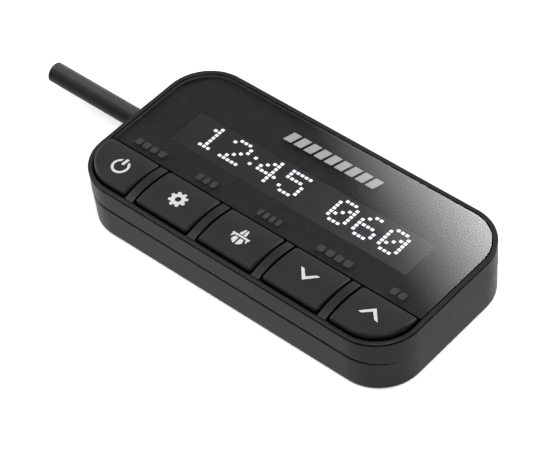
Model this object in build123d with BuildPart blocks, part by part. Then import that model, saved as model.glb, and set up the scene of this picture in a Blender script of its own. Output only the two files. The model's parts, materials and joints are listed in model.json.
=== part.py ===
"""In-cabin display and control module of a wired radar detector.

A low rectangular box with large corner radii. A glossy window covers the back
part of the top, five keys stand in a row in front of it, and a lead leaves
through the left end. Millimetres, +Z up, +X along the length, +Y towards the
window side. The origin is the centre of the face that rests on the dashboard.
"""

import os
from math import cos, radians, sin

from build123d import *

os.makedirs("parts", exist_ok=True)

# ---- driving dimensions -------------------------------------------------------------
body_length = 75.0
body_width = 37.0
body_height = 12.1
corner_radius = 9.0
parting_height = 6.97  # split between the two housings, above the underside
pad_stand = 0.3  # how far the adhesive pad stands below the housing
rim = 0.85  # rim round the window and the keys, and the upper wall
reveal = 0.8  # shadow gap at the parting line
running_gap = 0.4  # clearance round a key
key_travel = 0.4

# ---- levels, from the face that rests on the dashboard ------------------------------
base_z = pad_stand
parting_z = base_z + parting_height
top_z = base_z + body_height
floor_top_z = base_z + 1.5
board_bottom_z = base_z + 5.4
board_thickness = 1.2
board_top_z = board_bottom_z + board_thickness
window_thickness = 0.8
mask_thickness = 0.06
adhesive_thickness = 0.19
window_bottom_z = top_z - window_thickness
mask_bottom_z = window_bottom_z - mask_thickness
deck_top_z = mask_bottom_z - adhesive_thickness
deck_bottom_z = deck_top_z - 1.2

# ---- plan positions -----------------------------------------------------------------
window_front_y = -7.5
deck_front_y = window_front_y + 0.1
rib_back_y = window_front_y - 0.48
key_back_y = window_front_y - 0.37
rib_front_y = rim - body_width / 2
key_front_y = rib_front_y + running_gap
rib_pitch = 15.2
rib_width = 1.7
rib_centres = [rib_pitch * step for step in (-1.5, -0.5, 0.5, 1.5)]
switch_y = -12.5
switch_end_x = 29.4
cable_y = 2.05
cable_z = parting_z

# ---- display ------------------------------------------------------------------------
view_y = 3.1  # middle of the display
opening_length = 56.0  # opening in the print through which the display is seen
opening_width = 8.7
opening_centre = (-0.4, 3.6)
glass_length = 58.0
glass_width = 12.8
glass_thickness = 0.7
glass_ledge = 1.6  # bare strip of the back glass where the ribbon is bonded
ribbon_width = 12.0
ribbon_thickness = 0.2

# ---- fixings ------------------------------------------------------------------------
screw_places = [(-31.0, -4.6), (31.0, -4.6), (-31.0, 12.6), (31.0, 12.6)]
screw_shank_radius = 0.85
screw_head_radius = 1.5
screw_head_height = 1.0
screw_head_z = base_z + 0.3
boss_radius = 2.1
post_radius = 2.4
pin_places = [(-7.6, -13.6), (12.0, 14.0)]  # pegs that locate the board
pin_radius = 0.9

# ---- lead ---------------------------------------------------------------------------
cable_radius = 2.05
jacket_bore = 1.35
wire_radius = 0.46
core_radius = 0.25
wire_circle = 0.8  # radius on which the four wires lie in the jacket
wire_turn = 80  # degrees, place of the first wire on that circle
cable_end_x = -62.0
jacket_inner_x = -33.2
grommet_neck = 2.5
grommet_collar = 3.1
plug_y = cable_y
plug_z = 4.1
plug_back_x = -27.6
plug_pitch = 1.5
wire_names = ["red", "black", "white", "yellow"]


def save(piece, label):
    """Labels a finished piece and writes it as one STEP file."""
    piece.part.label = label
    export_step(piece.part, f"parts/{label}.step")


def outline(inset, mode=Mode.ADD):
    """Plan outline of the body, set in by a distance, in the active sketch."""
    RectangleRounded(
        body_length - 2 * inset, body_width - 2 * inset, corner_radius - inset, mode=mode
    )


def half_plane(front_y, back_y, mode):
    """A full-length strip between two y values, in the active sketch."""
    with Locations((0, (front_y + back_y) / 2)):
        Rectangle(body_length + 10, back_y - front_y, mode=mode)


def crown_profile(back, middle, front):
    """Closed side profile (y, z) under an arc through three points, in the active sketch."""
    with BuildLine() as profile:
        ThreePointArc(back, middle, front)
        Polyline(front, (front[0], board_top_z), (back[0], board_top_z), back)
    make_face(profile.edges())


# ---- icons, each drawn about its own centre in the active sketch --------------------
def power_icon():
    """Broken ring with a short bar in the break."""
    ring_outer = 1.8
    stroke = 0.51
    bar_width = 0.58
    bar_length = 1.72
    bar_gap = 0.44
    bar_proud = 0.33  # how far the bar stands out of the ring
    Circle(ring_outer)
    Circle(ring_outer - stroke, mode=Mode.SUBTRACT)
    with Locations((0, ring_outer)):
        Rectangle(bar_width + 2 * bar_gap, 3 * stroke, mode=Mode.SUBTRACT)
    with Locations((0, ring_outer + bar_proud - bar_length / 2)):
        Rectangle(bar_width, bar_length)


def gear_icon():
    """Toothed wheel with a round hole."""
    teeth = 8
    tooth_turn = 31.5  # degrees, place of the first tooth
    wheel_radius = 1.4
    Circle(wheel_radius)
    with PolarLocations(0, teeth, start_angle=tooth_turn):
        with Locations((wheel_radius, 0)):
            RectangleRounded(0.92, 0.66, 0.2)
    Circle(0.6, mode=Mode.SUBTRACT)


def road_icon():
    """Two lanes that run under a bridge."""
    bridge_top = 0.2
    bridge_bottom = -0.22
    for side in (-1, 1):
        Polygon(
            (side * 0.1, 1.78), (side * 0.42, 1.78), (side * 0.8, 0.5), (side * 0.65, 0.35),
            (side * 0.12, 0.35), align=None,
        )
        Polygon(
            (side * 0.18, -0.46), (side * 0.98, -0.46), (side * 1.22, -1.26), (side * 0.95, -1.62),
            (side * 0.52, -1.88), (side * 0.18, -1.98), align=None,
        )
        Polygon(
            (side * 1.2, bridge_top), (side * 2.0, bridge_top), (side * 1.92, bridge_bottom),
            (side * 1.78, bridge_bottom), (side * 1.82, -0.86), (side * 1.58, -0.88), (side * 1.28, bridge_bottom),
            align=None,
        )
    with Locations((0, (bridge_top + bridge_bottom) / 2)):
        Rectangle(3.8, bridge_top - bridge_bottom)


def chevron_icon(direction):
    """Arrow head with level feet; direction is 1 for up and -1 for down."""
    half_width = 2.19
    half_height = 1.18
    foot_width = 0.77
    thickness = 0.95  # measured up and down, at the tip
    for side in (-1, 1):
        Polygon(
            (0, direction * half_height), (side * half_width, -direction * half_height),
            (side * (half_width - foot_width), -direction * half_height),
            (0, direction * (half_height - thickness)), align=None,
        )


def down_icon():
    chevron_icon(-1)


def up_icon():
    chevron_icon(1)


# name, switch x, left edge, right edge, icon, icon centre from the switch, island inside the icon
rib_edge = rib_width / 2 + running_gap
key_end = body_length / 2 - rim - running_gap
keys = [
    ("power", -switch_end_x, -key_end, rib_centres[0] - rib_edge, power_icon, (0.15, -0.28), False),
    ("settings", -rib_pitch, rib_centres[0] + rib_edge, rib_centres[1] - rib_edge, gear_icon, (0.1, -0.07), True),
    ("road", 0.0, rib_centres[1] + rib_edge, rib_centres[2] - rib_edge, road_icon, (0, 0.05), False),
    ("down", rib_pitch, rib_centres[2] + rib_edge, rib_centres[3] - rib_edge, down_icon, (-0.05, 0), False),
    ("up", switch_end_x, rib_centres[3] + rib_edge, key_end, up_icon, (0.12, 0.5), False),
]
switch_places = [(key[1], switch_y) for key in keys]

# ---- housings -----------------------------------------------------------------------
lower_inset = 0.15
rim_edge = 0.07  # height of the thin outer edge of the rim
groove_height = 0.52  # shadow groove under the rim
groove_depth = 0.4
upper_wall_inset = 0.06
rib_foot_z = deck_top_z - 0.6  # the foot of a rib joins the deck up to this level
lower_wall_inset = 1.8  # inside face of the lower wall
lip_clearance = 0.1
lip_drop = 0.8
lower_top_z = parting_z - reveal / 2
upper_bottom_z = parting_z + reveal / 2
seam = 0.04
gap_narrowing_x = 30.0  # the shadow gap has its full height up to here
gap_half_x = 34.9  # half of it here
gap_end_x = 37.2  # and is only a seam from here on

with BuildPart() as lower_housing:
    with BuildSketch(Plane.XY.offset(lower_top_z)):
        outline(lower_inset)
    extrude(amount=-(lower_top_z - base_z), taper=1.2)
    fillet(lower_housing.faces().sort_by(Axis.Z)[0].edges(), 0.5)
    with BuildSketch(Plane.XY.offset(floor_top_z)):
        outline(lower_wall_inset)
    extrude(amount=body_height, mode=Mode.SUBTRACT)
    # rabbet that takes the lip of the upper housing
    with BuildSketch(Plane.XY.offset(parting_z - lip_drop - lip_clearance)):
        outline(rim - lip_clearance)
    extrude(amount=body_height, mode=Mode.SUBTRACT)
    # posts under the board, drilled for the screws
    with BuildSketch(Plane.XY.offset(floor_top_z)):
        with Locations(*screw_places):
            Circle(post_radius)
        with Locations(*pin_places):
            Circle(post_radius - 0.4)
    extrude(amount=board_bottom_z - floor_top_z)
    with BuildSketch(Plane.XY.offset(board_bottom_z)):
        with Locations(*pin_places):
            Circle(pin_radius)
    extrude(amount=board_thickness + 0.4)
    with BuildSketch(Plane.XY.offset(base_z)):
        with Locations(*screw_places):
            Circle(screw_shank_radius + 0.15)
    extrude(amount=board_bottom_z - base_z, mode=Mode.SUBTRACT)
    with BuildSketch(Plane.XY.offset(base_z)):
        with Locations(*screw_places):
            Circle(screw_head_radius + 0.2)
    extrude(amount=screw_head_z + screw_head_height - base_z, mode=Mode.SUBTRACT)
    # recess of the adhesive pad
    with BuildSketch(Plane.XY.offset(base_z)):
        RectangleRounded(50.6, 24.6, 3.3)
    extrude(amount=0.5, mode=Mode.SUBTRACT)
    # half of the lead's way through the wall, and the seat of the collar behind it
    with BuildSketch(Plane.YZ.offset(-body_length / 2 - 1)):
        with Locations((cable_y, cable_z)):
            Circle(grommet_neck)
    extrude(amount=4.0, mode=Mode.SUBTRACT)

with BuildPart() as upper_housing:
    with BuildSketch(Plane.XY.offset(lower_top_z + seam)):
        outline(upper_wall_inset)
    extrude(amount=top_z - rim_edge - groove_height - lower_top_z - seam)
    # shadow gap over the lower housing, which narrows to a seam at the end away from the lead
    with BuildSketch(Plane.XZ):
        Polygon(
            (-body_length, lower_top_z), (gap_end_x, lower_top_z), (gap_end_x, lower_top_z + seam),
            (gap_half_x, parting_z), (gap_narrowing_x, upper_bottom_z), (-body_length, upper_bottom_z), align=None,
        )
    extrude(amount=body_width, both=True, mode=Mode.SUBTRACT)
    with BuildSketch(Plane.XY.offset(top_z - rim_edge - groove_height)):
        outline(groove_depth)
    extrude(amount=groove_height)
    with BuildSketch(Plane.XY.offset(top_z - rim_edge)):
        outline(0)
    extrude(amount=rim_edge)
    fillet(upper_housing.faces().sort_by(Axis.Z)[-1].edges(), 0.05)
    with BuildSketch(Plane.XY.offset(lower_top_z)):
        outline(rim)
    extrude(amount=deck_bottom_z - lower_top_z, mode=Mode.SUBTRACT)
    # recess of the window
    with BuildSketch(Plane.XY.offset(deck_top_z)):
        outline(rim)
    extrude(amount=body_height, mode=Mode.SUBTRACT)
    # bay of the keys
    with BuildSketch(Plane.XY.offset(deck_bottom_z)):
        outline(rim)
        half_plane(-body_width, deck_front_y, Mode.INTERSECT)
    extrude(amount=body_height, mode=Mode.SUBTRACT)
    # lip that drops behind the lower wall
    with BuildSketch(Plane.XY.offset(parting_z - lip_drop)):
        outline(rim)
        outline(lower_wall_inset, Mode.SUBTRACT)
    extrude(amount=lip_drop + 1.4)
    # crowned ribs between the keys
    for rib_x in rib_centres:
        with BuildSketch(Plane.YZ.offset(rib_x)):
            with BuildLine():
                crest = ThreePointArc(
                    (rib_back_y, top_z + 0.35), (-12.5, top_z + 1.0), (rib_front_y, top_z + 0.2)
                )
                Polyline(
                    crest @ 1, (rib_front_y, deck_bottom_z), (deck_front_y, deck_bottom_z),
                    (deck_front_y, rib_foot_z), (rib_back_y, rib_foot_z), crest @ 0,
                )
            make_face()
        extrude(amount=rib_width / 2, both=True)
    # opening of the display and the way through for its ribbon
    with BuildSketch(Plane.XY.offset(deck_bottom_z)):
        with Locations((0, view_y)):
            Rectangle(glass_length + 0.6, glass_width + 0.6)
        with Locations((0, view_y - glass_width / 2 - 1.0)):
            Rectangle(ribbon_width + 1.0, 3.4)
    extrude(amount=deck_top_z - deck_bottom_z, mode=Mode.SUBTRACT)
    # screw bosses that clamp the board
    with BuildSketch(Plane.XY.offset(board_top_z)):
        with Locations(*screw_places):
            Circle(boss_radius)
    extrude(amount=deck_bottom_z - board_top_z)
    with BuildSketch(Plane.XY.offset(board_top_z)):
        with Locations(*screw_places):
            Circle(screw_shank_radius + 0.03)
    extrude(amount=2.7, mode=Mode.SUBTRACT)
    # the other half of the lead's way out, and room behind it for the collar
    with BuildSketch(Plane.YZ.offset(-body_length / 2 - 1)):
        with Locations((cable_y, cable_z)):
            Circle(grommet_neck)
    extrude(amount=4.0, mode=Mode.SUBTRACT)

# ---- window stack -------------------------------------------------------------------
window_gap = 0.15

with BuildPart() as display_window:
    with BuildSketch(Plane.XY.offset(window_bottom_z)):
        outline(rim + window_gap)
        half_plane(window_front_y, body_width, Mode.INTERSECT)
    extrude(amount=window_thickness)
    chamfer(display_window.faces().sort_by(Axis.Z)[-1].edges(), 0.08)

with BuildPart() as window_mask:
    with BuildSketch(Plane.XY.offset(mask_bottom_z)):
        outline(rim + window_gap + 0.02)
        half_plane(window_front_y + 0.1, body_width, Mode.INTERSECT)
        with Locations(opening_centre):
            Rectangle(opening_length, opening_width, mode=Mode.SUBTRACT)
    extrude(amount=mask_thickness)

with BuildPart() as window_adhesive:
    with BuildSketch(Plane.XY.offset(deck_top_z)):
        outline(rim + window_gap + 0.35)
        half_plane(window_front_y + 0.3, body_width, Mode.INTERSECT)
        with Locations((0, view_y)):
            Rectangle(glass_length + 1.0, glass_width + 1.0, mode=Mode.SUBTRACT)
    extrude(amount=adhesive_thickness)

# ---- display ------------------------------------------------------------------------
front_glass_top_z = mask_bottom_z - 0.02
front_glass_bottom_z = front_glass_top_z - glass_thickness
back_glass_bottom_z = front_glass_bottom_z - glass_thickness
front_glass_back_y = view_y + glass_width / 2
front_glass_front_y = view_y - glass_width / 2 + glass_ledge

with BuildPart() as display_front_glass:
    with BuildSketch(Plane.XY.offset(front_glass_bottom_z)):
        with Locations((0, (front_glass_back_y + front_glass_front_y) / 2)):
            Rectangle(glass_length, front_glass_back_y - front_glass_front_y)
    extrude(amount=glass_thickness)

with BuildPart() as display_back_glass:
    with BuildSketch(Plane.XY.offset(back_glass_bottom_z)):
        with Locations((0, view_y)):
            Rectangle(glass_length, glass_width)
    extrude(amount=glass_thickness)

with BuildPart() as display_holder:
    with BuildSketch(Plane.XY.offset(board_top_z)):
        with Locations((0, view_y)):
            RectangleRounded(glass_length - 0.4, glass_width - 0.4, 0.5)
            Rectangle(glass_length - 3.4, glass_width - 3.4, mode=Mode.SUBTRACT)
        with Locations((-18.0, view_y), (18.0, view_y)):
            Rectangle(1.2, glass_width - 2.0)
    extrude(amount=back_glass_bottom_z - board_top_z)

ribbon_bond_z = front_glass_bottom_z
ribbon_bend = 0.6
ribbon_drop_y = view_y - glass_width / 2 - 0.9
ribbon_end_z = board_top_z + 0.6
ribbon_end_y = ribbon_drop_y - 1.5

with BuildPart() as display_ribbon:
    with BuildLine(Plane.YZ) as ribbon_path:
        bonded = Line(
            (front_glass_front_y - 0.2, ribbon_bond_z + ribbon_thickness / 2),
            (ribbon_drop_y + ribbon_bend, ribbon_bond_z + ribbon_thickness / 2),
        )
        first_bend = JernArc(bonded @ 1, (-1, 0), ribbon_bend, 90)
        drop = Line(first_bend @ 1, (ribbon_drop_y, ribbon_end_z + ribbon_bend))
        second_bend = JernArc(drop @ 1, (0, -1), ribbon_bend, -90)
        Line(second_bend @ 1, (ribbon_end_y, ribbon_end_z))
    with BuildSketch(Plane(bonded @ 0, x_dir=(1, 0, 0), z_dir=(0, -1, 0))):
        Rectangle(ribbon_width, ribbon_thickness)
    sweep(path=ribbon_path.wires()[0])

with BuildPart() as ribbon_connector:
    with BuildSketch(Plane.XY.offset(board_top_z)):
        with Locations((0, ribbon_end_y - 0.2)):
            Rectangle(ribbon_width + 2.6, 2.6)
    extrude(amount=1.2)
    with BuildSketch(Plane.XZ.offset(-(ribbon_end_y + 1.2))):
        with Locations((0, ribbon_end_z)):
            Rectangle(ribbon_width + 0.2, ribbon_thickness + 0.1)
    extrude(amount=1.4, mode=Mode.SUBTRACT)

# ---- board and what stands on it ----------------------------------------------------
board_inset = 2.1
notch_length = 7.2  # open end of the board, where the wires pass down to the plug
notch_width = 8.0

with BuildPart() as main_board:
    with BuildSketch(Plane.XY.offset(board_bottom_z)):
        outline(board_inset)
        with Locations((board_inset - body_length / 2 + notch_length / 2, cable_y)):
            Rectangle(notch_length, notch_width, mode=Mode.SUBTRACT)
        with Locations(*screw_places):
            Circle(screw_shank_radius + 0.15, mode=Mode.SUBTRACT)
        with Locations(*pin_places):
            Circle(pin_radius + 0.05, mode=Mode.SUBTRACT)
    extrude(amount=board_thickness)

switch_side = 4.5
switch_height = 2.0
plunger_radius = 1.15
plunger_top_z = board_top_z + 3.0
plunger_bottom_z = board_top_z + 0.7 + key_travel

with BuildPart() as switch_bodies:
    with BuildSketch(Plane.XY.offset(board_top_z)):
        with Locations(*switch_places):
            RectangleRounded(switch_side, switch_side, 0.4)
    extrude(amount=switch_height)
    with BuildSketch(Plane.XY.offset(board_top_z)):
        for lead_x, lead_y in switch_places:
            with Locations((lead_x, lead_y - 1.5), (lead_x, lead_y + 1.5)):
                Rectangle(switch_side + 1.6, 0.6)
    extrude(amount=0.3)
    with BuildSketch(Plane.XY.offset(board_top_z + 0.5)):
        with Locations(*switch_places):
            Circle(plunger_radius + 0.05)
    extrude(amount=switch_height, mode=Mode.SUBTRACT)

with BuildPart() as key_lamps:
    with BuildSketch(Plane.XY.offset(board_top_z)):
        with Locations(*[(lamp_x, lamp_y + 3.1) for lamp_x, lamp_y in switch_places]):
            Rectangle(1.6, 0.8)
    extrude(amount=0.6)

chip_side = 7.0
chip_place = (22.0, 12.6)
lead_count = 8
lead_pitch = 0.75

with BuildPart() as controller_chip:
    with BuildSketch(Plane.XY.offset(board_top_z + 0.1)):
        with Locations(chip_place):
            Rectangle(chip_side, chip_side - 0.6)
    extrude(amount=1.3)
    chamfer(controller_chip.faces().sort_by(Axis.Z)[-1].edges(), 0.2)

with BuildPart() as controller_leads:
    with BuildSketch(Plane.XY.offset(board_top_z)):
        for side in (-1, 1):
            with Locations((chip_place[0] + side * (chip_side / 2 + 0.5), chip_place[1])):
                with GridLocations(0, lead_pitch, 1, lead_count):
                    Rectangle(1.0, 0.3)
    extrude(amount=0.5)

with BuildPart() as voltage_regulator:
    with BuildSketch(Plane.XY.offset(board_top_z)):
        with Locations((-22.0, 12.8)):
            Rectangle(4.6, 3.6)
    extrude(amount=1.5)
    with BuildSketch(Plane.XY.offset(board_top_z)):
        with Locations((-22.0, 12.8)):
            with GridLocations(1.5, 4.2, 3, 2):
                Rectangle(0.5, 0.7)
    extrude(amount=0.5)

with BuildPart() as power_inductor:
    with BuildSketch(Plane.XY.offset(board_top_z)):
        with Locations((-14.0, 13.2)):
            RectangleRounded(5.0, 4.4, 0.9)
    extrude(amount=2.4)
    chamfer(power_inductor.faces().sort_by(Axis.Z)[-1].edges(), 0.3)

with BuildPart() as clock_crystal:
    with BuildSketch(Plane.XY.offset(board_top_z)):
        with Locations((15.4, 13.0)):
            RectangleRounded(3.2, 2.5, 0.3)
    extrude(amount=0.8)

with BuildPart() as chip_capacitors:
    with BuildSketch(Plane.XY.offset(board_top_z)):
        with Locations((-24.0, -5.6), (-6.0, 12.8)):
            with GridLocations(2.2, 0, 2, 1):
                Rectangle(1.2, 2.0)
        with Locations((0.5, 12.8)):
            with GridLocations(2.0, 0, 3, 1):
                Rectangle(0.8, 1.6)
    extrude(amount=0.9)

with BuildPart() as chip_resistors:
    with BuildSketch(Plane.XY.offset(board_top_z)):
        for lamp_x, lamp_y in switch_places:
            with Locations((lamp_x + 2.9, lamp_y + 2.9)):
                Rectangle(0.8, 1.4)
        with Locations((8.0, 12.6)):
            with GridLocations(1.6, 2.6, 3, 2):
                Rectangle(0.8, 1.6)
    extrude(amount=0.45)

# ---- under the board ----------------------------------------------------------------
buzzer_height = 3.0

with BuildPart() as buzzer:
    with BuildSketch(Plane.XY.offset(board_bottom_z - buzzer_height)):
        with Locations((16.0, 1.0)):
            RectangleRounded(9.0, 9.0, 1.2)
    extrude(amount=buzzer_height)
    with BuildSketch(Plane.XY.offset(board_bottom_z - buzzer_height)):
        with Locations((16.0, 1.0)):
            Circle(1.3)
    extrude(amount=1.0, mode=Mode.SUBTRACT)

header_length = 5.4
header_width = 9.4
header_height = 3.2
header_front_x = plug_back_x + 2.2
plug_length = 5.4
plug_width = 8.0
plug_height = 2.2
plug_slots = [(plug_y + plug_pitch * (step - 1.5), plug_z) for step in range(4)]

with BuildPart() as cable_header:
    with BuildSketch(Plane.XY.offset(board_bottom_z - header_height)):
        with Locations((header_front_x + header_length / 2, plug_y)):
            Rectangle(header_length, header_width)
    extrude(amount=header_height)
    with BuildSketch(Plane.YZ.offset(header_front_x)):
        with Locations((plug_y, plug_z)):
            Rectangle(plug_width + 0.2, plug_height + 0.2)
    extrude(amount=plug_length - 2.0, mode=Mode.SUBTRACT)
    with BuildSketch(Plane.YZ.offset(header_front_x)):
        with Locations(*plug_slots):
            Rectangle(0.6, 0.6)
    extrude(amount=header_length, mode=Mode.SUBTRACT)

with BuildPart() as header_pins:
    with BuildSketch(Plane.YZ.offset(header_front_x + 1.2)):
        with Locations(*plug_slots):
            Rectangle(0.5, 0.5)
    extrude(amount=header_length)
    with BuildSketch(Plane.XY.offset(plug_z - 0.25)):
        with Locations(*[(header_front_x + header_length + 0.95, slot_y) for slot_y, slot_z in plug_slots]):
            Rectangle(0.5, 0.5)
    extrude(amount=board_bottom_z - plug_z + 0.25)

with BuildPart() as cable_plug:
    with BuildSketch(Plane.YZ.offset(plug_back_x)):
        with Locations((plug_y, plug_z)):
            Rectangle(plug_width, plug_height)
    extrude(amount=plug_length)
    with BuildSketch(Plane.YZ.offset(plug_back_x)):
        with Locations(*plug_slots):
            Circle(wire_radius + 0.05)
    extrude(amount=1.6, mode=Mode.SUBTRACT)
    with BuildSketch(Plane.YZ.offset(plug_back_x + 2.6)):
        with Locations(*plug_slots):
            Rectangle(0.6, 0.6)
    extrude(amount=plug_length, mode=Mode.SUBTRACT)

# ---- lead ---------------------------------------------------------------------------
with BuildPart() as cable_jacket:
    with BuildSketch(Plane.YZ.offset(cable_end_x)):
        with Locations((cable_y, cable_z)):
            Circle(cable_radius)
            Circle(jacket_bore, mode=Mode.SUBTRACT)
    extrude(amount=jacket_inner_x - cable_end_x)

collar_front_x = lower_wall_inset - body_length / 2 + 0.1
with BuildPart() as cable_grommet:
    with BuildSketch(Plane.YZ.offset(0.3 - body_length / 2)):
        with Locations((cable_y, cable_z)):
            Circle(grommet_neck - 0.05)
            Circle(cable_radius + 0.01, mode=Mode.SUBTRACT)
    extrude(amount=collar_front_x - 0.3 + body_length / 2)
    with BuildSketch(Plane.YZ.offset(collar_front_x)):
        with Locations((cable_y, cable_z)):
            RectangleRounded(2 * grommet_collar, 2 * grommet_collar - 1.2, 0.8)
            Circle(cable_radius + 0.01, mode=Mode.SUBTRACT)
    extrude(amount=1.2)

wire_end_x = cable_end_x - 0.25
wire_angles = [radians(wire_turn + 90 * quarter) for quarter in (1, 2, 0, 3)]
wire_starts = [
    (cable_y + wire_circle * cos(angle), cable_z + wire_circle * sin(angle)) for angle in wire_angles
]


def wire(start, slot, outer, inner, end_x):
    """One conductor, or its insulation, from the cut end of the lead into the plug."""
    with BuildPart() as strand:
        with BuildLine() as strand_path:
            straight = Line((end_x, start[0], start[1]), (jacket_inner_x, start[0], start[1]))
            bend = Spline(
                straight @ 1, (plug_back_x - 0.1, slot[0], slot[1]),
                tangents=((1, 0, 0), (1, 0, 0)), tangent_scalars=(1.6, 1.6),
            )
            Line(bend @ 1, (plug_back_x + 1.4, slot[0], slot[1]))
        with BuildSketch(Plane(straight @ 0, x_dir=(0, 1, 0), z_dir=(1, 0, 0))):
            Circle(outer)
            if inner > 0:
                Circle(inner, mode=Mode.SUBTRACT)
        sweep(path=strand_path.wires()[0])
    return strand


for wire_name, start, slot in zip(wire_names, wire_starts, plug_slots):
    save(wire(start, slot, wire_radius, core_radius + 0.01, wire_end_x), f"wire_{wire_name}")

with BuildPart() as wire_cores:
    for start, slot in zip(wire_starts, plug_slots):
        add(wire(start, slot, core_radius, 0, wire_end_x - 0.35).part)

# ---- fixings and pad ----------------------------------------------------------------
screw_length = 7.6

with BuildPart() as housing_screws:
    with BuildSketch(Plane.XY.offset(screw_head_z)):
        with Locations(*screw_places):
            Circle(screw_head_radius)
    extrude(amount=screw_head_height)
    with BuildSketch(Plane.XY.offset(screw_head_z)):
        for screw_x, screw_y in screw_places:
            with Locations((screw_x, screw_y)):
                Rectangle(1.7, 0.4)
                Rectangle(0.4, 1.7)
    extrude(amount=0.6, mode=Mode.SUBTRACT)
    with BuildSketch(Plane.XY.offset(screw_head_z + screw_head_height)):
        with Locations(*screw_places):
            Circle(screw_shank_radius)
    extrude(amount=screw_length)

with BuildPart() as adhesive_pad:
    with BuildSketch(Plane.XY):
        RectangleRounded(50.0, 24.0, 3.0)
    extrude(amount=pad_stand + 0.48)

# ---- keys ---------------------------------------------------------------------------
crown_back = (key_back_y, top_z + 0.45)
crown_middle = (-12.6, top_z + 1.1)
crown_front = (key_front_y, top_z + 0.68)
flange_bottom_z = board_top_z + 2.4
flange_top_z = deck_bottom_z - 0.05
flange_reach = 0.7
cap_wall = 1.2
ceiling_z = top_z - 0.4
guide_plate = 5.0
guide_plate_thickness = 0.8
stem_radius = 1.2
stem_gap = 0.02
bridge_length = 4.4
bridge_width = 0.6
bridge_height = 0.5

for name, switch_x, left, right, icon, shift, has_island in keys:
    icon_place = (switch_x + shift[0], switch_y + shift[1])
    with BuildPart() as key_cap:
        with BuildSketch(Plane.XY.offset(flange_bottom_z)):
            outline(rim + running_gap)
            with Locations(((left + right) / 2, (key_back_y + key_front_y) / 2)):
                RectangleRounded(right - left, key_back_y - key_front_y, 0.7, mode=Mode.INTERSECT)
        extrude(amount=body_height)
        with BuildSketch(Plane.YZ):
            crown_profile(crown_back, crown_middle, crown_front)
        extrude(amount=body_length, both=True, mode=Mode.INTERSECT)
        fillet(key_cap.faces().sort_by(Axis.Z)[-1].edges(), 0.5)
        # flange that stops under the deck and the ribs
        with BuildSketch(Plane.XY.offset(flange_bottom_z)):
            outline(rim + running_gap)
            with Locations(((left + right) / 2, (key_back_y + flange_reach + key_front_y) / 2)):
                Rectangle(
                    right - left + 2 * flange_reach, key_back_y + flange_reach - key_front_y,
                    mode=Mode.INTERSECT,
                )
        extrude(amount=flange_top_z - flange_bottom_z)
        # hollow inside
        with BuildSketch(Plane.XY.offset(flange_bottom_z)):
            outline(rim + running_gap + cap_wall)
            with Locations(((left + right) / 2, (key_back_y + key_front_y) / 2)):
                Rectangle(
                    right - left - 2 * cap_wall, key_back_y - key_front_y - 2 * cap_wall,
                    mode=Mode.INTERSECT,
                )
        extrude(amount=ceiling_z - flange_bottom_z, mode=Mode.SUBTRACT)
        with BuildSketch(Plane.XY.offset(ceiling_z)):
            with Locations(icon_place):
                icon()
        extrude(amount=body_height, mode=Mode.SUBTRACT)
        if has_island:
            # low bridge that carries the island inside the icon
            with BuildSketch(Plane.XY.offset(ceiling_z)):
                with Locations(icon_place):
                    Rectangle(bridge_length, bridge_width)
            extrude(amount=bridge_height)
    save(key_cap, f"key_{name}")

    with BuildPart() as icon_insert:
        with BuildSketch(Plane.XY.offset(ceiling_z)):
            with Locations(icon_place):
                icon()
        extrude(amount=body_height)
        with BuildSketch(Plane.YZ):
            crown_profile(crown_back, crown_middle, crown_front)
        extrude(amount=body_length, both=True, mode=Mode.INTERSECT)
        with BuildSketch(Plane.XY.offset(ceiling_z - guide_plate_thickness)):
            with Locations(icon_place):
                RectangleRounded(guide_plate, guide_plate, 0.6)
        extrude(amount=guide_plate_thickness)
        if has_island:
            with BuildSketch(Plane.XY.offset(ceiling_z)):
                with Locations(icon_place):
                    Rectangle(bridge_length, bridge_width)
            extrude(amount=bridge_height, mode=Mode.SUBTRACT)
        with BuildSketch(Plane.XY.offset(plunger_top_z + stem_gap)):
            with Locations((switch_x, switch_y)):
                Circle(stem_radius)
        extrude(amount=ceiling_z - guide_plate_thickness - plunger_top_z - stem_gap)
    save(icon_insert, f"icon_{name}")

    with BuildPart() as switch_plunger:
        with BuildSketch(Plane.XY.offset(plunger_bottom_z)):
            with Locations((switch_x, switch_y)):
                Circle(plunger_radius)
        extrude(amount=plunger_top_z - plunger_bottom_z)
    save(switch_plunger, f"plunger_{name}")

save(lower_housing, "lower_housing")
save(upper_housing, "upper_housing")
save(display_window, "display_window")
save(window_mask, "window_mask")
save(window_adhesive, "window_adhesive")
save(display_front_glass, "display_front_glass")
save(display_back_glass, "display_back_glass")
save(display_holder, "display_holder")
save(display_ribbon, "display_ribbon")
save(ribbon_connector, "ribbon_connector")
save(main_board, "main_board")
save(switch_bodies, "switch_bodies")
save(key_lamps, "key_lamps")
save(controller_chip, "controller_chip")
save(controller_leads, "controller_leads")
save(voltage_regulator, "voltage_regulator")
save(power_inductor, "power_inductor")
save(clock_crystal, "clock_crystal")
save(chip_capacitors, "chip_capacitors")
save(chip_resistors, "chip_resistors")
save(buzzer, "buzzer")
save(cable_header, "cable_header")
save(header_pins, "header_pins")
save(cable_plug, "cable_plug")
save(cable_jacket, "cable_jacket")
save(cable_grommet, "cable_grommet")
save(wire_cores, "wire_cores")
save(housing_screws, "housing_screws")
save(adhesive_pad, "adhesive_pad")
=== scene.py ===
"""Looks of a wired radar detector's display module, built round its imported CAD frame.

Metres, +Z up, +X away from the lead, +Y from the keys towards the window side. The CAD
pieces get procedural materials, and the prints on the window, the lit dots behind it and
the strands at the cut end of the lead are added as pieces of their own.
"""

import json
import math
import random

import bmesh
import bpy
from mathutils import Matrix, Vector


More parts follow.
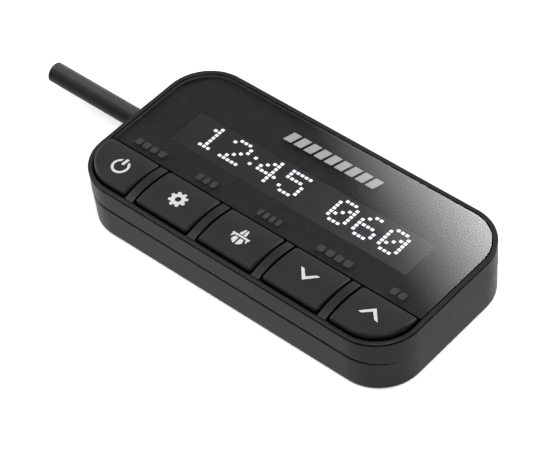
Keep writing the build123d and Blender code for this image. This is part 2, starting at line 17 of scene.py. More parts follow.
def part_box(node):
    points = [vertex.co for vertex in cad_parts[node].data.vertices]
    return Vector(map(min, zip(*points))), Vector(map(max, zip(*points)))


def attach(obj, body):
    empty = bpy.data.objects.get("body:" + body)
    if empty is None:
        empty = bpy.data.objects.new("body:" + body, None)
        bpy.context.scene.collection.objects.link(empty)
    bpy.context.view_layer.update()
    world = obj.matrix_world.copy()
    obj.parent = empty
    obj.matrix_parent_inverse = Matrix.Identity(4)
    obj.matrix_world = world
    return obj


MM = 0.001
HOUSING = "housing"  # body that carries the added pieces
COLUMN_PITCH = 0.975  # millimetres between the dots of the display
ROW_PITCH = 0.863

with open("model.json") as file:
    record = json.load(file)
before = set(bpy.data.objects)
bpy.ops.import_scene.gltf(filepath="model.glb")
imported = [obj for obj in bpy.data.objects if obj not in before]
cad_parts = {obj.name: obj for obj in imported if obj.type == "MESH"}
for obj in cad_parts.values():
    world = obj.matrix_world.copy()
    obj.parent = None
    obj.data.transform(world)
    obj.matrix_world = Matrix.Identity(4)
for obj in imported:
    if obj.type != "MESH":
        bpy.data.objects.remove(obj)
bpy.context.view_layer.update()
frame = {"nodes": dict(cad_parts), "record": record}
nodes = frame["nodes"]

window_low, window_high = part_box("display_window")
glass_low, glass_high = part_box("display_front_glass")


# ---- shader helper ------------------------------------------------------------------
class Shader:
    """Adds nodes to one material and links what it is given."""

    def __init__(self, name):
        self.material = bpy.data.materials.new(name)
        self.material.use_nodes = True
        self.tree = self.material.node_tree
        self.tree.nodes.clear()
        self.output = self.tree.nodes.new("ShaderNodeOutputMaterial")

    def put(self, socket, value):
        if isinstance(value, bpy.types.NodeSocket):
            self.tree.links.new(value, socket)
        else:
            socket.default_value = value

    def node(self, kind, inputs=None, **settings):
        made = self.tree.nodes.new(kind)
        for key, value in settings.items():
            setattr(made, key, value)
        for key, value in (inputs or {}).items():
            self.put(made.inputs[key], value)
        return made

    def math(self, operation, *values, clamp=False):
        made = self.node("ShaderNodeMath", operation=operation, use_clamp=clamp)
        for socket, value in zip(made.inputs, values):
            self.put(socket, value)
        return made.outputs[0]

    def dot(self, first, second):
        made = self.node("ShaderNodeVectorMath", {0: first, 1: second}, operation="DOT_PRODUCT")
        return made.outputs["Value"]

    def scaled(self, colour, factor):
        made = self.node("ShaderNodeVectorMath", {0: colour, "Scale": factor}, operation="SCALE")
        return made.outputs[0]

    def part_of(self, vector, axis):
        """One component of a vector."""
        return self.node("ShaderNodeSeparateXYZ", {0: vector}).outputs[axis]

    def mix(self, factor, first, second):
        made = self.node("ShaderNodeMix", data_type="RGBA")
        self.put(made.inputs[0], factor)
        self.put(made.inputs[6], first)
        self.put(made.inputs[7], second)
        return made.outputs[2]

    def ramp(self, value, low, high, to_low=0.0, to_high=1.0):
        inputs = {"Value": value, "From Min": low, "From Max": high, "To Min": to_low, "To Max": to_high}
        return self.node("ShaderNodeMapRange", inputs, interpolation_type="SMOOTHSTEP").outputs[0]

    def millimetres(self, stretch=(1, 1, 1)):
        """Position on the object in millimetres, optionally stretched along an axis."""
        place = self.node("ShaderNodeTexCoord").outputs["Object"]
        scale = [1 / (MM * s) for s in stretch]
        return self.node("ShaderNodeVectorMath", {0: place, 1: scale}, operation="MULTIPLY").outputs[0]

    def noise(self, place, size, detail=2.0, roughness=0.5):
        """Noise whose features are about size millimetres wide."""
        inputs = {"Vector": place, "Scale": 1 / size, "Detail": detail, "Roughness": roughness}
        return self.node("ShaderNodeTexNoise", inputs).outputs["Fac"]

    def bump(self, height, depth, normal=None):
        """Normal bent by a height map whose full height is depth millimetres."""
        inputs = {"Height": height, "Distance": depth * MM, "Strength": 1.0}
        if normal is not None:
            inputs["Normal"] = normal
        return self.node("ShaderNodeBump", inputs).outputs[0]

    def soft_edges(self, radius):
        """Normal that rounds sharp edges over a radius in millimetres."""
        return self.node("ShaderNodeBevel", {"Radius": radius * MM}, samples=4).outputs[0]

    def open_share(self, reach):
        """1 out in the open, falling to 0 deep in a gap that is narrower than reach millimetres."""
        blocked = self.node("ShaderNodeAmbientOcclusion", {"Distance": reach * MM}, samples=8).outputs["AO"]
        return self.ramp(blocked, 0.4, 0.9)

    def edge_mask(self, rounded):
        """0 on flat stretches, rising to 1 on an edge."""
        flat = self.node("ShaderNodeNewGeometry").outputs["Normal"]
        return self.ramp(self.dot(rounded, flat), 0.99, 0.8)

    def surface(self, inputs):
        made = self.node("ShaderNodeBsdfPrincipled", inputs)
        self.put(self.output.inputs["Surface"], made.outputs[0])
        return self.material


def grey(value):
    return (value, value, value, 1.0)


# ---- materials ----------------------------------------------------------------------
# faces turned this way get painted shade in moulded()
FRONT_RIGHT = (0.707, -0.707, 0.0)  # the dark side of the studio


def moulded(
    name, colour, roughness, grain=0.22, depth=0.004, mottle=0.12, wear=0.35, edge=0.12,
    gloss=0.5, wall_gloss=None, lee=1.0, gap=0.0,
):
    """Moulded plastic or rubber: spark-eroded grain, slight mottling, edges worn lighter and smoother, and
    painted shade.

    grain is the width and depth the height of the grain, edge the radius of the edges and gap the
    width of a gap that gets painted shade, all in millimetres. gloss is the strength of the reflections and
    wall_gloss that of the upright faces, set lower as painted shade on them. lee is the share of colour
    and reflection left on faces turned to the front right, which get painted shade.
    """
    s = Shader(name)
    place = s.millimetres()
    rounded = s.soft_edges(edge)
    worn = s.math("MULTIPLY", s.edge_mask(rounded), s.noise(place, 1.6, 3.0), clamp=True)
    cloud = s.noise(place, 7.0, 4.0)
    grain_map = s.noise(place, grain, 3.0, 0.6)
    shade = s.ramp(cloud, 0.3, 0.7, 1 - mottle, 1 + mottle)
    mottled = s.scaled(colour[:3], shade)
    lighter = tuple(min(1.0, c * 1.9 + 0.02) for c in colour[:3]) + (1.0,)
    rough = s.math("ADD", roughness - 0.04, s.math("MULTIPLY", grain_map, 0.1))
    rough = s.math("SUBTRACT", rough, s.math("MULTIPLY", worn, 0.12), clamp=True)
    shown = s.mix(s.math("MULTIPLY", worn, wear), mottled, lighter)
    flat = s.node("ShaderNodeNewGeometry").outputs["Normal"]
    # painted shade: upright faces reflect less than level ones
    if wall_gloss is not None:
        gloss = s.ramp(s.part_of(flat, "Z"), 0.5, 0.95, wall_gloss, gloss)
    # painted shade: faces turned to the front right, and narrow gaps, get darker colour and weaker
    # reflections
    painted_light_share = 1.0
    if lee < 1.0:
        painted_light_share = s.ramp(s.dot(flat, FRONT_RIGHT), 0.05, 0.4, 1.0, lee)
    if gap > 0.0:
        painted_light_share = s.math("MULTIPLY", s.open_share(gap), painted_light_share)
    return s.surface({
        "Base Color": s.scaled(shown, painted_light_share),
        "Roughness": rough,
        "IOR": 1.5,
        "Specular IOR Level": s.math("MULTIPLY", painted_light_share, gloss),
        "Normal": s.bump(grain_map, depth, rounded),
    })


def smoked_window():
    """Thin smoked acrylic: see-through straight on, mirror-like at a slant, with faint wipe marks."""
    s = Shader("smoked_window")
    wipes = s.ramp(s.noise(s.millimetres((9.0, 1.0, 1.0)), 0.9, 4.0), 0.5, 0.8)
    dust = s.ramp(s.noise(s.millimetres(), 5.0, 5.0), 0.45, 0.75)
    marks = s.math("ADD", s.math("MULTIPLY", wipes, 0.008), s.math("MULTIPLY", dust, 0.008))
    rough = s.math("ADD", 0.03, marks)
    geometry = s.node("ShaderNodeNewGeometry")
    outer = s.math("SUBTRACT", 1.0, geometry.outputs["Backfacing"])
    fresnel = s.node("ShaderNodeFresnel", {"IOR": 1.5}).outputs[0]
    tint = s.mix(dust, (0.93, 0.935, 0.945, 1), (0.9, 0.905, 0.915, 1))
    clear = s.node("ShaderNodeBsdfTransparent", {"Color": tint}).outputs[0]
    gloss = s.node("ShaderNodeBsdfAnisotropic", {"Color": grey(1.0), "Roughness": rough}).outputs[0]
    mirrored = s.math("MULTIPLY", fresnel, outer)
    sheet = s.node("ShaderNodeMixShader", {0: mirrored, 1: clear, 2: gloss}).outputs[0]
    # the cut edges are black from outside; from inside the window they get a grey that stands for the print
    # under the window, a painted reflection
    edge_black_and_painted_reflection = s.mix(outer, grey(0.07), grey(0.003))
    cut = s.node("ShaderNodeBsdfDiffuse", {"Color": edge_black_and_painted_reflection}).outputs[0]
    level = s.math("GREATER_THAN", s.math("ABSOLUTE", s.part_of(geometry.outputs["Normal"], "Z")), 0.9)
    window = s.node("ShaderNodeMixShader", {0: level, 1: cut, 2: sheet}).outputs[0]
    s.put(s.output.inputs["Surface"], window)
    return s.material


def display_glass(name, value):
    """Dark glass of the display with the faint grid of unlit dots, and a painted sheen that lightens it to
    the right.
    """
    s = Shader(name)
    place = s.millimetres()
    cell = {"Vector": place, "Scale": 1.0, "Mortar Size": 0.08}
    cell.update({"Color1": grey(value * 1.12), "Color2": grey(value * 1.05), "Mortar": grey(value)})
    cell.update({"Brick Width": COLUMN_PITCH, "Row Height": ROW_PITCH})
    grid = s.node("ShaderNodeTexBrick", cell, offset=0.0).outputs["Color"]
    cloud = s.noise(place, 6.0, 3.0)
    shade = s.mix(s.ramp(cloud, 0.3, 0.8, 0.0, 0.25), grid, grey(value * 1.4))
    return s.surface({
        # painted sheen: the glass is lighter towards the right
        "Base Color": s.scaled(shade, s.ramp(s.part_of(place, "X"), -10.0, 28.0, 1.0, 1.7)),
        "Roughness": s.ramp(cloud, 0.3, 0.7, 0.5, 0.62),
        "Specular IOR Level": 0.15,
        "Normal": s.soft_edges(0.05),
    })


def lit_dot():
    """Lit dots of the display, which differ a little in brightness and warmth."""
    s = Shader("lit_dot")
    place = s.millimetres()
    flicker = s.ramp(s.noise(place, 0.8, 1.0), 0.3, 0.7, 0.94, 1.0)
    colour = s.mix(s.noise(place, 3.0, 1.0), (0.93, 0.97, 1.0, 1), (1.0, 1.0, 0.98, 1))
    return s.surface({
        "Base Color": grey(0.75),
        "Roughness": 0.5,
        "Emission Color": colour,
        "Emission Strength": s.math("MULTIPLY", flicker, 0.86),
    })


def print_ink(name, value):
    """Screen-printed ink with the faint mesh of the screen."""
    s = Shader(name)
    place = s.millimetres()
    mesh_marks = s.node("ShaderNodeTexVoronoi", {"Vector": place, "Scale": 9.0}).outputs["Distance"]
    thin = s.noise(place, 0.7, 3.0)
    mesh_mix = s.math("MULTIPLY", mesh_marks, 0.35, clamp=True)
    return s.surface({
        "Base Color": s.mix(mesh_mix, grey(value), grey(value * 0.82)),
        "Roughness": s.ramp(thin, 0.3, 0.7, 0.5, 0.65),
        "Normal": s.bump(thin, 0.002),
    })


def icon_white():
    """Translucent white insert."""
    s = Shader("icon_white")
    place = s.millimetres()
    cloud = s.noise(place, 1.4, 3.0)
    return s.surface({
        "Base Color": s.mix(cloud, (0.52, 0.525, 0.53, 1), (0.57, 0.575, 0.58, 1)),
        "Roughness": s.ramp(cloud, 0.3, 0.7, 0.38, 0.48),
        "Subsurface Weight": 0.2,
        "Subsurface Radius": (0.6 * MM, 0.6 * MM, 0.6 * MM),
        "Subsurface Scale": 1.0,
        "Normal": s.bump(s.noise(place, 0.3, 2.0), 0.003, s.soft_edges(0.06)),
    })


def metal(name, colour, roughness, brush=(1, 1, 1)):
    """Metal with fine brushing or rolling marks, drawn out by brush, and patches of tarnish."""
    tarnish = 0.25
    s = Shader(name)
    place = s.millimetres()
    marks = s.noise(s.millimetres(brush), 0.12, 4.0)
    patches = s.ramp(s.noise(place, 1.8, 5.0), 0.42, 0.7)
    dull = tuple(c * 0.55 for c in colour[:3]) + (1.0,)
    return s.surface({
        "Base Color": s.mix(s.math("MULTIPLY", patches, tarnish), colour, dull),
        "Metallic": 1.0,
        "Roughness": s.math("ADD", roughness, s.math("MULTIPLY", marks, 0.18), clamp=True),
        "Normal": s.bump(marks, 0.002, s.soft_edges(0.05)),
    })


def circuit_board():
    """Green solder mask over copper tracks, with drilled and tinned pads scattered over it."""
    s = Shader("circuit_board")
    place = s.millimetres()
    cell = {"Vector": place, "Scale": 1.0, "Mortar Size": 0.09, "Mortar Smooth": 0.2}
    cell.update({"Brick Width": 2.6, "Row Height": 0.85})
    tracks = s.node("ShaderNodeTexBrick", cell).outputs["Fac"]
    vias = s.node("ShaderNodeTexVoronoi", {"Vector": place, "Scale": 0.45}).outputs["Distance"]
    pad = s.ramp(vias, 0.16, 0.12)
    hole = s.ramp(vias, 0.07, 0.05)
    mask = s.mix(tracks, (0.008, 0.09, 0.035, 1), (0.02, 0.2, 0.07, 1))
    ring = s.mix(pad, mask, (0.75, 0.73, 0.68, 1))
    return s.surface({
        "Base Color": s.mix(hole, ring, grey(0.02)),
        "Metallic": s.math("MULTIPLY", pad, s.math("SUBTRACT", 1.0, hole)),
        "Roughness": s.ramp(pad, 0, 1, 0.3, 0.4),
        "Normal": s.bump(s.math("ADD", tracks, pad), 0.02, s.soft_edges(0.06)),
    })


def foam():
    """Closed-cell foam of the adhesive pad."""
    s = Shader("pad_foam")
    place = s.millimetres()
    cells = s.node("ShaderNodeTexVoronoi", {"Vector": place, "Scale": 3.2}).outputs["Distance"]
    fine = s.node("ShaderNodeTexVoronoi", {"Vector": place, "Scale": 9.0}).outputs["Distance"]
    height = s.math("ADD", cells, s.math("MULTIPLY", fine, 0.4))
    return s.surface({
        "Base Color": s.mix(s.ramp(cells, 0.1, 0.6), grey(0.012), grey(0.045)),
        "Roughness": s.ramp(fine, 0.0, 0.6, 0.95, 0.7),
        "Normal": s.bump(height, 0.12, s.soft_edges(0.15)),
    })


def ribbon_film():
    """Amber film with copper tracks along the ribbon."""
    s = Shader("ribbon_film")
    tracks = s.node(
        "ShaderNodeTexWave", {"Vector": s.millimetres(), "Scale": 0.32, "Distortion": 0.0},
        wave_type="BANDS", bands_direction="X",
    ).outputs["Fac"]
    band = s.ramp(tracks, 0.45, 0.6)
    return s.surface({
        "Base Color": s.mix(band, (0.5, 0.2, 0.03, 1), (0.62, 0.34, 0.12, 1)),
        "Metallic": s.math("MULTIPLY", band, 0.5),
        "Roughness": s.ramp(tracks, 0, 1, 0.35, 0.25),
        "Normal": s.bump(band, 0.01),
    })


def floor_paper():
    """Pale seamless paper with a painted glow that only the camera sees: a little near the module, which
    washes out the shadows there, and full far away from it.
    """
    s = Shader("floor_paper")
    place = s.millimetres()
    fibre = s.noise(place, 0.6, 4.0)
    cloud = s.noise(place, 120.0, 2.0)
    away = s.node("ShaderNodeVectorMath", {0: place}, operation="LENGTH").outputs["Value"]
    seen = s.node("ShaderNodeLightPath").outputs["Is Camera Ray"]
    # painted light: a glow seen only by the camera, which lightens the shadows near the module
    glow = s.ramp(away, 400.0, 1500.0, 0.25, 1.0)
    return s.surface({
        "Base Color": s.mix(cloud, grey(0.9), grey(0.92)),
        "Roughness": 0.9,
        "Specular IOR Level": 0.0,
        "Emission Color": grey(1.0),
        "Emission Strength": s.math("MULTIPLY", seen, glow),
        "Normal": s.bump(fibre, 0.004),
    })


slot_materials = {
    # painted shade in the narrow gaps and on the upright faces
    "housing_plastic": moulded(
        "housing_plastic_fine", grey(0.009), 0.34, grain=0.25, depth=0.002, mottle=0.05, wear=0.1, edge=0.25,
        gloss=0.6, wall_gloss=0.14, gap=0.6,
    ),
    "window_glass": smoked_window(),
    "mask_print": print_ink("mask_print_black", 0.0093),
    "black_foam": foam(),
    "display_glass": display_glass("display_glass_dark", 0.03),
    "inner_plastic": moulded("inner_plastic_black", grey(0.04), 0.5),
    "ribbon_film": ribbon_film(),
    "connector_plastic": moulded("connector_ivory", (0.72, 0.68, 0.56, 1), 0.45, mottle=0.05),
    "board_green": circuit_board(),
    "switch_metal": metal("switch_sheet", (0.72, 0.72, 0.7, 1), 0.25, brush=(6, 1, 1)),
    "lamp_body": moulded("lamp_resin", (0.85, 0.8, 0.45, 1), 0.25, grain=0.4, mottle=0.08),
    "chip_black": moulded("chip_epoxy", grey(0.028), 0.55, grain=0.12, depth=0.006),
    "tinned_metal": metal("tinned_metal_dull", (0.78, 0.78, 0.8, 1), 0.3),
    "ferrite": moulded("ferrite_grey", grey(0.09), 0.7, grain=0.18, depth=0.01),
    "ceramic_tan": moulded("ceramic_fired", (0.42, 0.31, 0.2, 1), 0.4, grain=0.3),
    # painted shade on the side turned to the front right
    "cable_rubber": moulded("cable_sheath", grey(0.042), 0.36, grain=0.35, mottle=0.1, edge=0.1, lee=0.2),
    "copper": metal("bare_copper", (0.86, 0.43, 0.25, 1), 0.25, brush=(8, 1, 1)),
    "wire_red": moulded("wire_red_sheath", (0.5, 0.012, 0.012, 1), 0.38),
    "wire_black": moulded("wire_black_sheath", grey(0.02), 0.38),
    "wire_white": moulded("wire_white_sheath", grey(0.75), 0.38),
    "wire_yellow": moulded("wire_yellow_sheath", (0.75, 0.48, 0.02, 1), 0.38),
    "screw_steel": metal("screw_black_zinc", (0.16, 0.16, 0.165, 1), 0.35),
    # painted shade on the sides turned to the front right and in the narrow gaps
    "key_plastic": moulded(
        "key_plastic_satin", grey(0.012), 0.4, grain=0.3, depth=0.0015, mottle=0.05, wear=0.1, edge=0.05,
        lee=0.3, gap=0.6,
    ),
    "icon_white": icon_white(),
    "plunger_plastic": moulded("plunger_ivory", (0.7, 0.66, 0.52, 1), 0.4),
}

# the tape that holds the window shares the slot of the black foam, but is grey
own_materials = {"window_adhesive": moulded("window_tape_grey", grey(0.035), 0.6)}

for part in frame["record"]["subparts"]:
    mesh = nodes[part["node"]].data
    mesh.materials.clear()
    mesh.materials.append(own_materials.get(part["node"], slot_materials[part["material_slot"]]))


# ---- meshes of prints and dots ------------------------------------------------------
def rounded_rectangle(centre_x, centre_y, width, height, radius, steps=4):
    """Points of a rounded rectangle, anticlockwise."""
    points = []
    for corner in range(4):
        sign_x = 1 if corner in (0, 3) else -1
        sign_y = 1 if corner in (0, 1) else -1
        middle_x = centre_x + sign_x * (width / 2 - radius)
        middle_y = centre_y + sign_y * (height / 2 - radius)
        for step in range(steps + 1):
            angle = math.pi / 2 * (corner + step / steps)
            points.append((middle_x + radius * math.cos(angle), middle_y + radius * math.sin(angle)))
    return points


def add_piece(mesh):
    """Adds a mesh as a piece of its own that goes with the housing."""
    piece = bpy.data.objects.new(mesh.name, mesh)
    bpy.context.scene.collection.objects.link(piece)
    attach(piece, HOUSING)


def raised_shapes(name, outlines, bottom, top, material):
    """One piece made of closed plates between two heights, with a small chamfer on their tops."""
    upright_share = 0.6  # of the plate's height; the rest is the chamfer
    chamfer_share = 0.4
    made = bmesh.new()
    for outline in outlines:
        base = [made.verts.new((x, y, bottom)) for x, y in outline]
        centre = Vector((sum(x for x, y in outline), sum(y for x, y in outline))) / len(outline)
        shoulder = [made.verts.new((x, y, bottom + (top - bottom) * upright_share)) for x, y in outline]
        cap = []
        for x, y in outline:
            inward = (centre - Vector((x, y))).normalized() * (top - bottom) * chamfer_share
            cap.append(made.verts.new((x + inward.x, y + inward.y, top)))
        made.faces.new(list(reversed(base)))
        made.faces.new(cap)
        for low, high in ((base, shoulder), (shoulder, cap)):
            for index in range(len(outline)):
                after = (index + 1) % len(outline)
                made.faces.new((low[index], low[after], high[after], high[index]))
    mesh = bpy.data.meshes.new(name)
    made.to_mesh(mesh)
    made.free()
    mesh.materials.append(material)
    add_piece(mesh)


# A clock and a speed reading in the usual five by seven dot characters.
GLYPHS = {
    "0": (".###.", "#...#", "#..##", "#.#.#", "##..#", "#...#", ".###."),
    "1": ("..#..", ".##..", "..#..", "..#..", "..#..", "..#..", ".###."),
    "2": (".###.", "#...#", "....#", "...#.", "..#..", ".#...", "#####"),
    "4": ("...#.", "..##.", ".#.#.", "#..#.", "#####", "...#.", "...#."),
    "5": ("#####", "#....", "####.", "....#", "....#", "#...#", ".###."),
    "6": ("..##.", ".#...", "#....", "####.", "#...#", "#...#", ".###."),
    ":": (".", ".", "#", ".", "#", ".", "."),
    " ": (".....",) * 7,
}
READING = "12:45 060"
dot_width = 0.66 * MM
dot_height = 0.6 * MM
line_centre = Vector(((glass_low.x + glass_high.x) / 2 - 0.5 * MM, 4.1 * MM))


def lit_cells(reading):
    """Column and row of every lit dot, and the number of columns in the line."""
    cells = []
    column = 0
    for sign in reading:
        rows = GLYPHS[sign]
        for row, dots in enumerate(rows):
            cells += [(column + index, row) for index, dot in enumerate(dots) if dot == "#"]
        column += len(rows[0]) + 1
    return cells, column - 1


cells, line_columns = lit_cells(READING)
dot_outlines = []
for column, row in cells:
    dot_x = line_centre.x + (column - (line_columns - 1) / 2) * (COLUMN_PITCH * MM)
    dot_y = line_centre.y - (row - 3) * (ROW_PITCH * MM)
    dot_outlines.append(rounded_rectangle(dot_x, dot_y, dot_width, dot_height, 0.02 * MM))
raised_shapes(
    "display_dots", dot_outlines, glass_high.z - 0.004 * MM, glass_high.z + 0.012 * MM, lit_dot()
)

# Plain marks in place of the words under the display and of the name above it, in millimetres,
# printed just under the face of the window.
print_top = window_high.z - 0.06 * MM
print_bottom = window_high.z - 0.08 * MM
mark_y = -5.25
mark_height = 1.5
mark_corner = 0.35
mark_gap = 0.5
word_marks = ((-28.95, 7.1, 4), (-14.95, 4.5, 3), (0.15, 5.3, 4), (15.35, 7.7, 4), (29.75, 3.2, 2))
mark_outlines = []
for centre_x, width, count in word_marks:
    block = (width - mark_gap * (count - 1)) / count
    for index in range(count):
        block_x = centre_x - width / 2 + block / 2 + index * (block + mark_gap)
        mark_outlines.append(
            rounded_rectangle(block_x * MM, mark_y * MM, block * MM, mark_height * MM, mark_corner * MM)
        )
mark_ink = print_ink("mark_ink", 0.036)
raised_shapes("key_marks", mark_outlines, print_bottom, print_top, mark_ink)

badge_y = 12.45
badge_height = 2.5
badge_length = 22.0
badge_blocks = 9
badge_gap = 0.6
badge_slant = 0.7  # how far the top of a block leans over its foot
badge_block = (badge_length - badge_slant - badge_gap * (badge_blocks - 1)) / badge_blocks
badge_outlines = []
for index in range(badge_blocks):
    foot_x = -badge_length / 2 + index * (badge_block + badge_gap)
    corners = ((0, -1), (badge_block, -1), (badge_block + badge_slant, 1), (badge_slant, 1))
    badge_outlines.append([((foot_x + x) * MM, (badge_y + y * badge_height / 2) * MM) for x, y in corners])
badge_ink = print_ink("badge_ink", 0.36)
raised_shapes("badge_bars", badge_outlines, print_bottom, print_top, badge_ink)


# ---- copper strands at the cut end of the lead --------------------------------------
STRANDS = 7  # one in the middle and six round it
STRAND_RADIUS = 0.075 * MM
STRAND_CIRCLE = 0.16 * MM
STRAND_LENGTH = 0.55 * MM
STRAND_TWIST = 1.2  # radians over the length of a strand


def wire_end(colour):
    """Middle of a wire's cut end, as y and z."""
    vertices = [v.co for v in nodes[f"wire_{colour}"].data.vertices]
    end_x = min(v.x for v in vertices)
    ends = [v for v in vertices if v.x < end_x + 0.01 * MM]
    return sum(v.y for v in ends) / len(ends), sum(v.z for v in ends) / len(ends)


def add_tube(made, centres, radius, sides=8):
    """Closed tube along -X through a list of centres."""
    previous = None
    for x, y, z in centres:
        loop = []
        for side in range(sides):
            angle = 2 * math.pi * side / sides
            loop.append(made.verts.new((x, y + radius * math.cos(angle), z + radius * math.sin(angle))))
        if previous:
            for side in range(sides):
                after = (side + 1) % sides
                made.faces.new((previous[side], loop[side], loop[after], previous[after]))
        else:
            made.faces.new(loop)
        previous = loop
    made.faces.new(list(reversed(previous)))


def strand_bundle():
    """Fine twisted strands that stand out of each of the four cores."""
    made = bmesh.new()
    root_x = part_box("wire_cores")[0].x + 0.5 * MM
    rings = 7
    rng = random.Random(5)
    for colour in ("red", "black", "white", "yellow"):
        centre_y, centre_z = wire_end(colour)
        for strand in range(STRANDS):
            place_radius = 0.0 if strand == 0 else STRAND_CIRCLE
            place_angle = strand * math.pi / 3
            splay = rng.uniform(0.0, 0.1) * MM
            centres = []
            for ring in range(rings):
                share = ring / (rings - 1)
                turn = place_angle + share * STRAND_TWIST
                reach = place_radius + splay * share * share
                y = centre_y + reach * math.cos(turn)
                z = centre_z + reach * math.sin(turn)
                centres.append((root_x - STRAND_LENGTH * share, y, z))
            add_tube(made, centres, STRAND_RADIUS)
    bmesh.ops.recalc_face_normals(made, faces=made.faces)
    mesh = bpy.data.meshes.new("lead_strands")
    made.to_mesh(mesh)
    made.free()
    for polygon in mesh.polygons:
        polygon.use_smooth = len(polygon.vertices) == 4
    mesh.materials.append(slot_materials["copper"])
    add_piece(mesh)


strand_bundle()

# ---- stage, light and camera --------------------------------------------------------
camera_azimuth = math.radians(45.866)
camera_elevation = math.radians(46.671)
camera_roll = math.radians(-6.323)
camera_distance = 424.9 * MM
aim = Vector((-1.90 * MM, -2.09 * MM, 6.35 * MM))

back = Vector((
    math.sin(camera_azimuth) * math.cos(camera_elevation),
    -math.cos(camera_azimuth) * math.cos(camera_elevation),
    math.sin(camera_elevation),
))
level_right = Vector((math.cos(camera_azimuth), math.sin(camera_azimuth), 0))
level_up = back.cross(level_right)
right = level_right * math.cos(camera_roll) + level_up * math.sin(camera_roll)
up = back.cross(right)

camera_data = bpy.data.cameras.new("camera")
camera_data.sensor_width = 36.0
camera_data.lens = 154.15
camera_data.clip_start = 0.01
camera_data.clip_end = 20.0
camera = bpy.data.objects.new("camera", camera_data)
camera_place = aim + back * camera_distance
camera.matrix_world = Matrix.Translation(camera_place) @ Matrix((right, up, back)).transposed().to_4x4()
bpy.context.scene.collection.objects.link(camera)
bpy.context.scene.camera = camera

floor_half = 4.0
floor_signs = ((-1, -1), (1, -1), (1, 1), (-1, 1))
floor_mesh = bpy.data.meshes.new("floor")
floor_mesh.from_pydata([(x * floor_half, y * floor_half, 0) for x, y in floor_signs], [], [(0, 1, 2, 3)])
floor_mesh.materials.append(floor_paper())
floor = bpy.data.objects.new("floor", floor_mesh)
bpy.context.scene.collection.objects.link(floor)


def softbox(name, place, size, power):
    """Square area light that faces the module."""
    data = bpy.data.lights.new(name, "AREA")
    data.shape = "SQUARE"
    data.size = size
    data.energy = power
    lamp = bpy.data.objects.new(name, data)
    lamp.location = place
    lamp.rotation_mode = "QUATERNION"
    lamp.rotation_quaternion = (-Vector(place)).to_track_quat("-Z", "Y")
    bpy.context.scene.collection.objects.link(lamp)


softbox("key_softbox", (0.5, -0.35, 1.1), 0.8, 14.0)
softbox("fill_softbox", (-0.9, -0.5, 0.8), 0.9, 7.0)
softbox("back_softbox", (0.3, 1.0, 0.7), 0.8, 6.0)


def card_glow():
    """Light of the card: none up to a slanting line across the window, then rising to its far corner."""
    tone_low = 0.19  # tone of the window without the sheen
    tone_high = 0.862
    gamma = 2.2
    mirror_share = 0.047  # of the light that falls on the window at the camera's slant
    s = Shader("card_glow")
    split = s.node("ShaderNodeSeparateXYZ", {0: s.node("ShaderNodeUVMap", uv_map="window_place").outputs[0]})
    across = s.math("ADD", split.outputs["X"], s.math("MULTIPLY", split.outputs["Y"], 2.0))
    # the tone rises evenly across the sheen, so the light rises as a power of it
    inputs = {"Value": across, "From Min": 23.5, "From Max": 70.0, "To Min": tone_low, "To Max": tone_high}
    tone = s.node("ShaderNodeMapRange", inputs).outputs[0]
    light = s.math("SUBTRACT", s.math("POWER", tone, gamma), tone_low**gamma)
    strength = s.math("DIVIDE", light, mirror_share)
    glow = s.node("ShaderNodeEmission", {"Color": grey(1.0), "Strength": strength}).outputs[0]
    s.put(s.output.inputs["Surface"], glow)
    return s.material


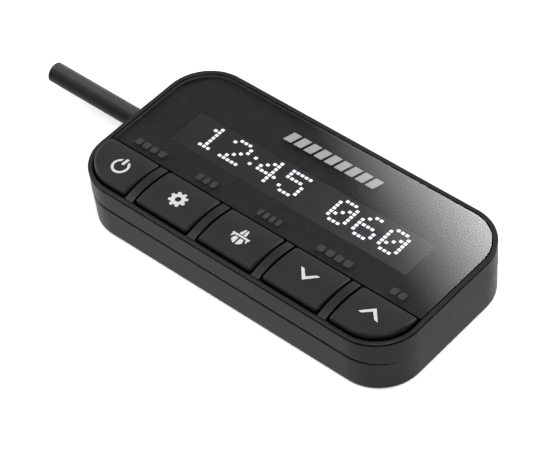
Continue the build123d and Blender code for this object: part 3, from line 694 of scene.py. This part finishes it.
def window_card():
    """Soft white card behind the module, seen only as the sheen on the window's far corner.

    Each point of the card is the mirror image, in the window, of a point of the window
    as the camera sees it, so its brightness can be set from the place on the window.
    """
    distance = 0.6
    margin = 20 * MM  # how far the mirrored part of the card goes on beyond the window
    front_y = -12 * MM
    columns = 24
    rows = 12
    mirrored = Vector((camera_place.x, camera_place.y, 2 * window_high.z - camera_place.z))
    centre = Vector((0, 0, window_high.z))
    axis = (centre - mirrored).normalized()
    low = Vector((window_low.x - margin, front_y))
    high = Vector((window_high.x + margin, window_high.y + margin))
    points = []
    places = []
    faces = []
    for row in range(rows + 1):
        for column in range(columns + 1):
            x = low.x + (high.x - low.x) * column / columns
            y = low.y + (high.y - low.y) * row / rows
            ray = Vector((x, y, window_high.z)) - mirrored
            reach = ((centre - mirrored).dot(axis) + distance) / ray.dot(axis)
            points.append(mirrored + ray * reach)
            places.append((x / MM, y / MM))
    for row in range(rows):
        for column in range(columns):
            first = row * (columns + 1) + column
            faces.append((first, first + 1, first + columns + 2, first + columns + 1))
    mesh = bpy.data.meshes.new("window_card")
    mesh.from_pydata(points, [], faces)
    layer = mesh.uv_layers.new(name="window_place")
    for loop in mesh.loops:
        layer.data[loop.index].uv = places[loop.vertex_index]
    mesh.materials.append(card_glow())
    card = bpy.data.objects.new("window_card", mesh)
    card.visible_camera = False
    card.visible_shadow = False
    lit_pieces = bpy.data.collections.new("window_card_lights")
    lit_pieces.objects.link(nodes["display_window"])
    card.light_linking.receiver_collection = lit_pieces
    bpy.context.scene.collection.objects.link(card)


window_card()


def studio_world():
    """Soft surround: pale to the camera, grey in reflections, darker overhead than at the horizon."""
    world = bpy.data.worlds.new("studio")
    world.use_nodes = True
    tree = world.node_tree
    tree.nodes.clear()
    output = tree.nodes.new("ShaderNodeOutputWorld")
    background = tree.nodes.new("ShaderNodeBackground")
    direction = tree.nodes.new("ShaderNodeTexCoord")
    split = tree.nodes.new("ShaderNodeSeparateXYZ")
    height = tree.nodes.new("ShaderNodeMapRange")
    path = tree.nodes.new("ShaderNodeLightPath")
    choose = tree.nodes.new("ShaderNodeMix")
    choose.data_type = "FLOAT"
    height.inputs["From Min"].default_value = 0.2
    height.inputs["From Max"].default_value = 0.9
    height.inputs["To Min"].default_value = 0.496
    height.inputs["To Max"].default_value = 0.272
    background.inputs["Color"].default_value = (1.0, 1.0, 1.0, 1.0)
    choose.inputs["B"].default_value = 1.0
    tree.links.new(direction.outputs["Generated"], split.inputs[0])
    tree.links.new(split.outputs["Z"], height.inputs["Value"])
    tree.links.new(path.outputs["Is Camera Ray"], choose.inputs["Factor"])
    tree.links.new(height.outputs[0], choose.inputs["A"])
    tree.links.new(choose.outputs[0], background.inputs["Strength"])
    tree.links.new(background.outputs[0], output.inputs["Surface"])
    bpy.context.scene.world = world


studio_world()
bpy.context.scene.view_settings.view_transform = "Standard"
